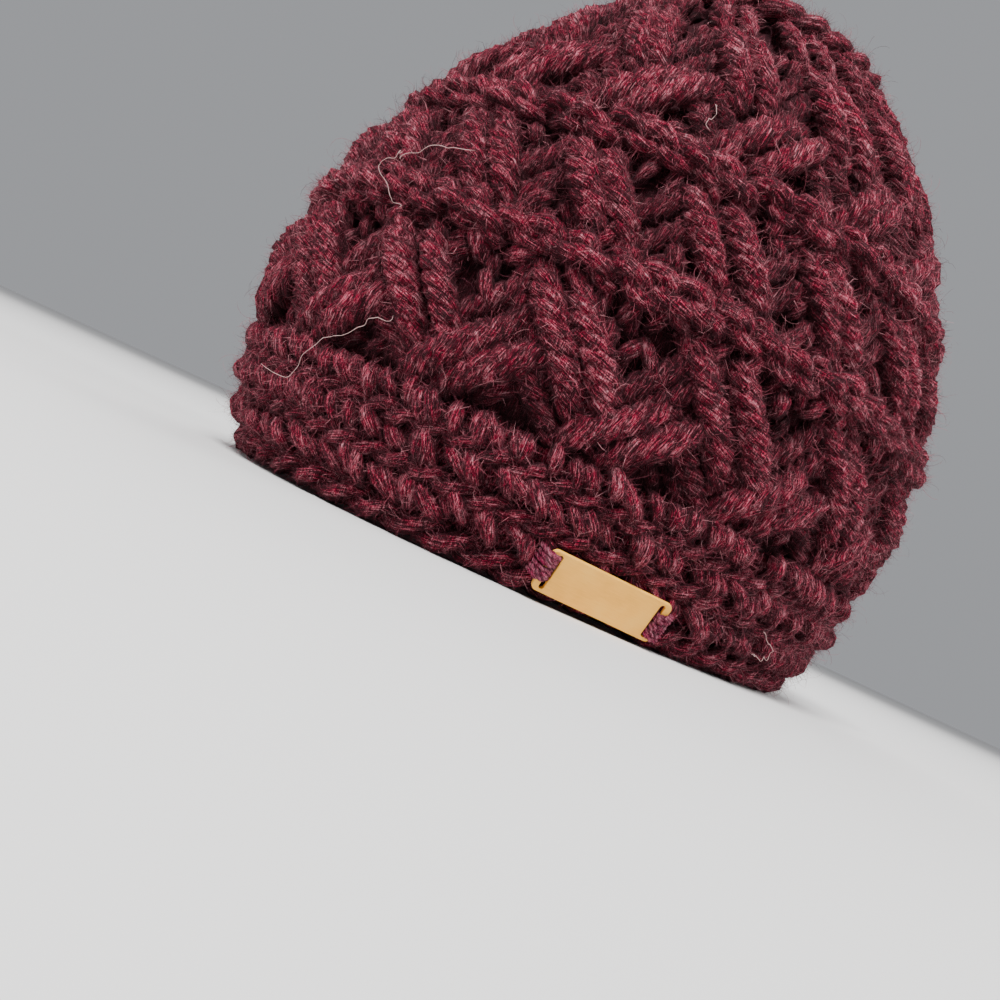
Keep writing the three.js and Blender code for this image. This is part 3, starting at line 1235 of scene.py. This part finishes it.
@dataclass
class ShortStitchBand:
    """Rows of short stitches with loop lines between them: the brim, and the edging."""

    node: str
    low: float
    high: float
    rows: tuple[ShortRow, ...]
    lines: tuple[LoopLine, ...]
    seed: int
    wall: float = 9 * MM
    leg_apart: float = 0.21

    def paths(self) -> YarnPaths:
        """Lays the loop lines and every short stitch."""
        paths = YarnPaths(self.node + "_stitches", self.seed)
        for line in self.lines:
            paths.ring(line.height, line.depth, line.rope)
        for row in self.rows:
            pitch = 360 / row.count
            for index in range(row.count):
                for leg in (-self.leg_apart, self.leg_apart):
                    middle = row.angle + (index + leg) * pitch
                    paths.oval(middle, row.low, row.high, row.lean, row.depth, row.radius)
        return paths


class Knitter:
    """Turns laid paths into dressed pieces."""

    lump: float = 1.9 * MM
    fibre_length: float = 5.5 * MM
    fibre_rise: float = 0.50

    def __init__(self, finish: WoolFinish, fibres: FibreFinish, seat: TagSeat) -> None:
        """Makes the tools that every round shares.

        Args:
            finish: The hat's yarn.
            fibres: Its loose fibres.
            seat: The tag's seat.
        """
        self.finish = finish
        self.fibres = fibres
        self.seat = seat
        self.yarn = YarnTool()
        self.shapes = FibreShapes().build()
        self.scatter = FibreTool(self.shapes)
        self.core = Core()

    def knit(self, part: CableTier | RidgeRound | ShortStitchBand, sides: int, fibres: int) -> None:
        """Makes the strands, the core and the loose fibres of one round.

        Args:
            part: The round.
            sides: Sides of a strand.
            fibres: How many loose fibres it gets.
        """
        paths = part.paths()
        pressed = part.low < self.seat.centre[2] < part.high
        if pressed:
            paths.seat = self.seat
            paths.points = [self.seat.press(*line) for line in zip(paths.points, paths.radii)]
        stitches = paths.build(self.yarn, self.finish, sides, self.lump)
        core = self.core.build(part.node + "_core", part.low, part.high, part.wall, self.finish,
                               self.seat if pressed else None)
        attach(core, "root")
        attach(stitches, "root")
        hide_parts(part.node)
        self.fuzz(stitches, fibres, part.seed)

    def put_away(self) -> None:
        """Removes the shapes that the loose fibres were picked from."""
        for shape in list(self.shapes.objects):
            discard(shape)
        bpy.data.collections.remove(self.shapes)

    def fuzz(self, piece: bpy.types.Object, fibres: int, seed: int) -> None:
        """Scatters loose fibres over a piece, none of them into the floor.

        Args:
            piece: What they grow on.
            fibres: How many there are.
            seed: The random seed.
        """
        mesh = piece.data
        mesh.calc_loop_triangles()
        weight = read(mesh.attributes["fuzz"].data, "value")
        corners = read(mesh.loop_triangles, "vertices", 3, np.int32)
        areas = read(mesh.loop_triangles, "area")
        grown = float((areas * weight[corners].mean(1)).sum())
        made = self.scatter.run(piece, piece.name.replace("_stitches", "") + "_fuzz",
                                Density=fibres / grown, Length=self.fibre_length,
                                Rise=self.fibre_rise, Seed=seed, Material=self.fibres.material)
        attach(made, "root")
        tips = read(made.data.vertices, "co", 3)
        tips[:, 2] = np.maximum(tips[:, 2], CLEARANCE / 2)
        made.data.vertices.foreach_set("co", tips.ravel())
        LOG.info("%s: %d faces, %s: %d faces", piece.name, len(mesh.polygons), made.name,
                 len(made.data.polygons))


@dataclass(frozen=True)
class TagFinish:
    """A smooth warm tan plate with faint grain along it."""

    name: str = "warm tan tag"
    shades: Shades = (
        (0.30, (0.800, 0.360, 0.045)),
        (0.55, (0.930, 0.460, 0.068)),
        (0.80, (0.960, 0.540, 0.110)),
    )
    roughness: float = 0.48
    specular: float = 0.25
    grain_stretch: tuple[float, float, float] = (0.12, 1.6, 1.0)
    grain: Pattern = Pattern(2.2, 6.0, 0.65, shade=0.45)
    clouds: Pattern = Pattern(0.12, 2.0, shade=0.6)
    bump: float = 0.25
    bump_distance: float = 0.2 * MM

    @cached_property
    def material(self) -> bpy.types.Material:
        """The material, made once."""
        material, write, surface = new_material(self.name)
        space = write.marked("plate_space", "Vector")
        stretched = write.add("ShaderNodeMapping", space, Scale=self.grain_stretch).outputs[0]
        grain = self.grain.noise(write, stretched)
        clouds = write.math("MULTIPLY", self.clouds.noise(write, space), self.clouds.shade)
        mixed = write.math("MULTIPLY_ADD", grain, self.grain.shade, clouds)
        write.fill(surface, Base_Color=write.ramp(mixed, self.shades),
                   Normal=write.bump(grain, self.bump, self.bump_distance),
                   Roughness=self.roughness, Specular_IOR_Level=self.specular)
        return material


@dataclass(frozen=True)
class Tag:
    """The bare plate, with a slot near each short end."""

    seat: TagSeat
    width: float = 38.0 * MM
    tall: float = 12.7 * MM
    thick: float = 1.4 * MM
    corner: float = 1.6 * MM
    slot_from_end: float = 2.6 * MM
    slot_wide: float = 1.5 * MM
    slot_tall: float = 10.6 * MM
    slot_corner: float = 0.7 * MM
    bevel: float = 0.22 * MM
    bevel_steps: int = 2
    corner_steps: int = 6

    @property
    def slot_at(self) -> float:
        """How far each slot lies from the plate's middle."""
        return self.width / 2 - self.slot_from_end

    def outline(self, centre: float, wide: float, tall: float,
                corner: float) -> list[tuple[float, float, float]]:
        """A rounded rectangle about a point of the plate's long middle line.

        Args:
            centre: How far along the plate it lies.
            wide: Its width.
            tall: Its height.
            corner: Radius of its corners.

        Returns:
            Its points in order.
        """
        points = []
        for turn, (x, y) in enumerate(((1, 1), (-1, 1), (-1, -1), (1, -1))):
            for step in range(self.corner_steps + 1):
                angle = math.radians(90 * (turn + step / self.corner_steps))
                points.append((centre + x * (wide / 2 - corner) + corner * math.cos(angle),
                               y * (tall / 2 - corner) + corner * math.sin(angle), 0.0))
        return points

    def build(self, finish: TagFinish) -> bpy.types.Object:
        """Makes the plate and lays it on its seat."""
        curve = bpy.data.curves.new("plate outline", "CURVE")
        curve.dimensions = "2D"
        curve.fill_mode = "BOTH"
        curve.extrude = self.thick / 2 - self.bevel
        curve.bevel_depth = self.bevel
        curve.bevel_resolution = self.bevel_steps
        curve.offset = -self.bevel
        shapes = [self.outline(0, self.width, self.tall, self.corner)]
        shapes += [self.outline(end * self.slot_at, self.slot_wide, self.slot_tall,
                                self.slot_corner) for end in (-1, 1)]
        for shape in shapes:
            spline = curve.splines.new("POLY")
            spline.points.add(len(shape) - 1)
            for point, place in zip(spline.points, shape):
                point.co = (*place, 1)
            spline.use_cyclic_u = True
        source = new_object("plate outline", curve)
        evaluated = source.evaluated_get(bpy.context.evaluated_depsgraph_get())
        mesh = bpy.data.meshes.new_from_object(evaluated)
        discard(source)
        flat = np.array([vertex.co[:] for vertex in mesh.vertices])
        axes = np.stack([self.seat.right, self.seat.up, self.seat.out])
        mesh.vertices.foreach_set("co", (self.seat.centre + flat @ axes).astype(np.float32).ravel())
        store(mesh, "plate_space", flat / MM)
        mesh.materials.clear()
        mesh.materials.append(finish.material)
        mesh.name = "tag_bare_plate"
        return new_object("tag_bare_plate", mesh)


@dataclass(frozen=True)
class TagTie:
    """Six turns of fine plied yarn, side by side, through one slot and over the plate's end."""

    node: str
    end: int
    shift: float
    seat: TagSeat
    plate: Tag
    turns: int = 6
    tall: float = 7.4 * MM
    fan: float = 0.22
    steps: int = 26
    sides: int = 6
    lump: float = 0.2 * MM
    rope: Rope = Rope(2, 0.56 * MM, 0.38 * MM, 3.6 * MM, Twist.Z)
    hand: Unevenness = Unevenness(0.0, 0.15 * MM, (0.9, 1.1))
    seed: int = 31

    @property
    def route(self) -> np.ndarray:
        """A turn's path, seen from the plate's side: how far along it, and how far out of it."""
        slot, past = self.plate.slot_at, self.plate.width / 2
        front = self.plate.thick / 2 + 0.7 * MM
        return np.array([
            (slot + 0.25 * MM, -2.0 * MM),
            (slot + 0.25 * MM, 0.1 * MM),
            (slot + 0.7 * MM, front),
            (past - 0.8 * MM, front + 0.2 * MM),
            (past + 1.0 * MM, front - 0.5 * MM),
            (past + 1.9 * MM, -0.8 * MM),
            (past + 2.3 * MM, -3.2 * MM),
        ])

    def build(self, tool: YarnTool, finish: WoolFinish) -> bpy.types.Object:
        """Lays the turns side by side and sweeps them."""
        paths = YarnPaths(self.node + "_yarn", self.seed + self.end)
        seat, knots = self.seat, self.route
        t = np.linspace(0, len(knots) - 1, self.steps)
        along, rise = (np.interp(t, range(len(knots)), column) for column in knots.T)
        fan = 1 + self.fan * np.clip((along - self.plate.slot_at) / self.plate.slot_from_end, 0, 1)
        out = np.broadcast_to(seat.out, (self.steps, 3))
        for turn in range(self.turns):
            place = (turn + 0.5) / self.turns - 0.5
            high = self.shift + place * self.tall * fan + paths.rng.normal(0, self.hand.ends)
            middle = (seat.centre + np.outer(self.end * along, seat.right)
                      + np.outer(high, seat.up) + np.outer(rise, seat.out))
            swell = paths.rng.uniform(*self.hand.size)
            paths.coil(middle, out, np.zeros(self.steps), self.rope, swell, False,
                       paths.rng.uniform(0, 6))
        return paths.build(tool, finish, self.sides, self.lump)


@dataclass(frozen=True)
class StrayFibres:
    """The few pale fibres that lie loose over the hat.

    Each knot of a route is its angle, and how many millimetres up and proud of the face it is.
    """

    routes: tuple[tuple[tuple[float, float, float], ...], ...] = (
        ((5, 27, 0), (17, 25, 3), (20, 38, 4), (25, 42, 3), (28, 48, 4), (31, 50, 1)),
        ((14, 96, 1), (17, 91, 4), (15, 87, 5), (20, 81, 3), (22, 79, 0)),
        ((17, 91, 4), (22, 95, 5), (28, 97, 6)),
        ((54, 136, 5), (55, 133, 4), (54.5, 130, 1)),
        ((100, 19, 2), (103, 15, 4), (106, 12, 3), (104, 10, 2), (101, 12, 3)),
    )
    radius: float = 0.07 * MM
    waver: float = 1.1 * MM
    steps: int = 9
    smoothing: int = 14
    waver_smoothing: int = 3
    sides: int = 4
    seed: int = 41

    def build(self, tool: YarnTool, finish: FibreFinish) -> bpy.types.Object:
        """Lays them as thin bent threads."""
        paths = YarnPaths("stray_fibres", self.seed)
        for route in self.routes:
            knots = np.array(route, float)
            t = np.linspace(0, len(knots) - 1, self.steps * len(knots))
            bent = np.stack([np.interp(t, range(len(knots)), column) for column in knots.T], 1)
            bent = self.smooth(bent, self.smoothing)
            points = FACE.point(bent[:, 0], bent[:, 1] * MM, -bent[:, 2] * MM)
            waves = paths.rng.normal(0, self.waver, points.shape)
            points = points + self.smooth(waves, self.waver_smoothing)
            paths.strand(points, np.full(len(points), self.radius), np.zeros(len(points)))
        return paths.build(tool, finish, self.sides, 0.0)

    @staticmethod
    def smooth(line: np.ndarray, times: int) -> np.ndarray:
        """Evens out a line between its ends, a number of times."""
        for _ in range(times):
            line[1:-1] = (line[:-2] + line[1:-1] + line[2:]) / 3
        return line


@dataclass(frozen=True)
class Softbox:
    """One square area light that looks at the hat: its side in metres, its power in watts."""

    name: str
    place: tuple[float, float, float]
    size: float
    power: float


@dataclass(frozen=True)
class Studio:
    """A pale floor, soft lights and the camera."""

    floor_half: float = 4.0
    floor_colour: tuple[float, float, float] = (0.78, 0.77, 0.76)
    floor_roughness: float = 0.8
    sky_colour: tuple[float, float, float] = (0.93, 0.95, 1.0)
    sky_strength: float = 0.38
    softboxes: tuple[Softbox, ...] = (
        Softbox("key", (0.55, -0.55, 1.15), 0.5, 32),
        Softbox("fill", (-0.2, -1.2, 0.5), 0.9, 3),
        Softbox("rim", (0.6, 0.9, 0.7), 0.6, 8),
        Softbox("back", (-0.8, 0.5, 0.9), 0.7, 9),
    )
    target_height: float = 0.090
    azimuth: float = 55.5
    elevation: float = -11.0
    distance: float = 0.381
    roll: float = 24.7
    target_pixel: tuple[float, float] = (623.0, 338.0)
    focal_pixels: float = 1080.0
    frame_pixels: float = 1000.0
    sensor: float = 36.0
    clip_start: float = 0.01

    @property
    def target(self) -> Vector:
        """The point that the lights and the camera are set by."""
        return Vector((0, 0, self.target_height))

    def build(self) -> None:
        """Makes the floor, the lights and the camera."""
        self.floor()
        self.lights()
        self.camera()

    def floor(self) -> None:
        """Makes a wide pale floor."""
        half = self.floor_half
        mesh = bpy.data.meshes.new("floor")
        mesh.from_pydata([(-half, -half, 0), (half, -half, 0), (half, half, 0), (-half, half, 0)],
                         [], [(0, 1, 2, 3)])
        material, write, surface = new_material("pale floor")
        write.fill(surface, Base_Color=(*self.floor_colour, 1), Roughness=self.floor_roughness)
        mesh.materials.append(material)
        new_object("floor", mesh)

    def lights(self) -> None:
        """Makes a pale sky and soft lights: a high key, a low fill, and a rim and a back light."""
        world = bpy.data.worlds.new("pale sky")
        world.use_nodes = True
        tree = world.node_tree
        NodeWriter(tree).fill(tree.nodes["Background"], Color=(*self.sky_colour, 1),
                              Strength=self.sky_strength)
        bpy.context.scene.world = world
        for box in self.softboxes:
            data = bpy.data.lights.new(box.name, "AREA")
            data.size = box.size
            data.energy = box.power
            lamp = new_object(box.name, data)
            lamp.location = box.place
            ahead = self.target - Vector(box.place)
            lamp.rotation_euler = ahead.to_track_quat("-Z", "Y").to_euler()

    def camera(self) -> None:
        """The camera at the photograph's angle, raised to stand above the floor."""
        turn, rise, roll = (math.radians(angle)
                            for angle in (self.azimuth, self.elevation, self.roll))
        back = Vector((math.sin(turn) * math.cos(rise), -math.cos(turn) * math.cos(rise),
                       math.sin(rise)))
        ahead = -back
        right = ahead.cross(Vector((0, 0, 1))).normalized()
        up = right.cross(ahead)
        level = Matrix((right, up, ahead))
        rolled = Matrix(((math.cos(roll), math.sin(roll), 0), (-math.sin(roll), math.cos(roll), 0),
                         (0, 0, 1)))
        half = self.frame_pixels / 2
        aim = Vector(((self.target_pixel[0] - half) / self.focal_pixels,
                      (half - self.target_pixel[1]) / self.focal_pixels, 1)).normalized()
        turned = Vector((0, 0, 1)).rotation_difference(aim).to_matrix()
        axes = turned @ rolled @ level
        data = bpy.data.cameras.new("camera")
        data.sensor_width = self.sensor
        data.lens = self.sensor * self.focal_pixels / self.frame_pixels
        data.clip_start = self.clip_start
        camera = new_object("camera", data)
        camera.matrix_world = Matrix.Translation(self.target + back * self.distance) @ Matrix(
            (axes[0], axes[1], -axes[2])).transposed().to_4x4()
        bpy.context.scene.camera = camera


WINE = WoolFinish("heathered wine wool", (
    (0.18, (0.018, 0.003, 0.005)),
    (0.38, (0.076, 0.008, 0.017)),
    (0.54, (0.210, 0.020, 0.041)),
    (0.70, (0.485, 0.064, 0.102)),
    (0.92, (0.780, 0.280, 0.340)),
))
WINE_FIBRES = FibreFinish("loose wine fibres", (
    (0.0, (0.022, 0.004, 0.008)),
    (0.35, (0.120, 0.018, 0.034)),
    (0.85, (0.350, 0.075, 0.102)),
    (1.0, (0.540, 0.230, 0.255)),
))
# The ties get no painted shade in their hollows, and a lighter painted shade on their flanks.
TIE_WOOL = WoolFinish("magenta wine tie wool", (
    (0.18, (0.080, 0.012, 0.026)),
    (0.38, (0.290, 0.048, 0.092)),
    (0.58, (0.540, 0.120, 0.190)),
    (0.85, (0.780, 0.300, 0.390)),
), hollow_painted_shade=1.0, flank=0.6)
PALE_FIBRE = FibreFinish("stray pale fibres", (
    (0.0, (0.62, 0.40, 0.38)),
    (1.0, (0.85, 0.76, 0.72)),
))

BRIM_LINES = (
    LoopLine(5.2 * MM, 4.4 * MM, Rope(2, 2.7 * MM, 2.3 * MM, 22 * MM, Twist.S)),
    LoopLine(5.4 * MM, 7.4 * MM, Rope(2, 2.4 * MM, 1.8 * MM, 22 * MM, Twist.S)),
    LoopLine(18.4 * MM, 5.0 * MM, Rope(2, 2.2 * MM, 1.7 * MM, 17 * MM, Twist.S)),
    LoopLine(29.5 * MM, 5.2 * MM, Rope(2, 2.2 * MM, 1.7 * MM, 17 * MM, Twist.S)),
)
BRIM_ROWS = (
    ShortRow(8.5 * MM, 16.5 * MM, 0.0, lean=-4.6),
    ShortRow(20.5 * MM, 28.5 * MM, 3.0, lean=-3.6, radius=2.45 * MM),
    ShortRow(31.0 * MM, 39.5 * MM, 0.8, lean=-3.2, radius=2.6 * MM),
)
EDGING_LINES = (
    LoopLine(197.0 * MM, 2.6 * MM, Rope(2, 2.6 * MM, 1.8 * MM, 20 * MM, Twist.S)),
    LoopLine(203.5 * MM, 4.6 * MM, Rope(2, 2.6 * MM, 2.0 * MM, 20 * MM, Twist.S)),
    LoopLine(203.0 * MM, 9.4 * MM, Rope(2, 2.4 * MM, 1.6 * MM, 20 * MM, Twist.S)),
)


def main() -> None:
    """Builds the hat round by round, then the tag and the studio."""
    logging.basicConfig(level=logging.INFO, format="%(message)s")
    Studio().build()
    seat = TagSeat.from_frame("blank_tag")
    knitter = Knitter(WINE, WINE_FIBRES, seat)
    knitter.knit(ShortStitchBand("brim_band", 1 * MM, 40 * MM, BRIM_ROWS, BRIM_LINES, 11), 6, 53000)
    knitter.knit(CableTier("lower_cable_tier", 40 * MM, 80 * MM, (
        CrossingRow(39 * MM, 61 * MM, Lean.RIGHT, 67, 15),
        CrossingRow(46 * MM, 80 * MM, Lean.LEFT, 55, 15, shift=12.5, front_depth=3.1 * MM),
    ), 12), 6, 61000)
    knitter.knit(RidgeRound("lower_ridge_round", 80 * MM, 92 * MM, 13), 6, 26500)
    knitter.knit(CableTier("middle_cable_tier", 92 * MM, 118 * MM, (
        CrossingRow(91 * MM, 119 * MM, Lean.LEFT, 46.5, 18, shift=11.0),
    ), 14), 6, 42500)
    knitter.knit(RidgeRound("upper_ridge_round", 118 * MM, 130 * MM, 15), 6, 22500)
    knitter.knit(CableTier("crown_tier", 130 * MM, 195 * MM, (
        CrossingRow(129 * MM, 154 * MM, Lean.RIGHT, 67, 15, spacing=6.4),
        CrossingRow(147 * MM, 178 * MM, Lean.LEFT, 55, 15, spacing=6.8, front_depth=3.6 * MM),
        CrossingRow(172 * MM, 197 * MM, Lean.LEFT, 43, 15, spacing=9.0, behind=False,
                    rope=Rope(3, 2.1 * MM, 2.0 * MM, 13 * MM, Twist.S)),
    ), 16, wall=11 * MM), 6, 61000)
    knitter.knit(ShortStitchBand("ponytail_edging", 195 * MM, 204 * MM, (), EDGING_LINES, 17,
                                 wall=11 * MM), 7, 11000)
    knitter.put_away()
    dress_tag(seat, knitter.yarn)
    strays = StrayFibres().build(knitter.yarn, PALE_FIBRE)
    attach(strays, "root")


def dress_tag(seat: TagSeat, yarn: YarnTool) -> None:
    """Makes the plate and its two ties.

    Args:
        seat: Where the plate lies.
        yarn: The tool that sweeps strands.
    """
    plate = Tag(seat)
    tag = plate.build(TagFinish())
    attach(tag, "root")
    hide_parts("blank_tag")
    for node, end, shift in (("tag_tie_front", -1, 1.1 * MM), ("tag_tie_back", 1, -1.1 * MM)):
        tie = TagTie(node, end, shift, seat, plate).build(yarn, TIE_WOOL)
        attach(tie, "root")
        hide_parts(node)
        LOG.info("%s: %d faces", tie.name, len(tie.data.polygons))


if __name__ == "__main__":
    main()
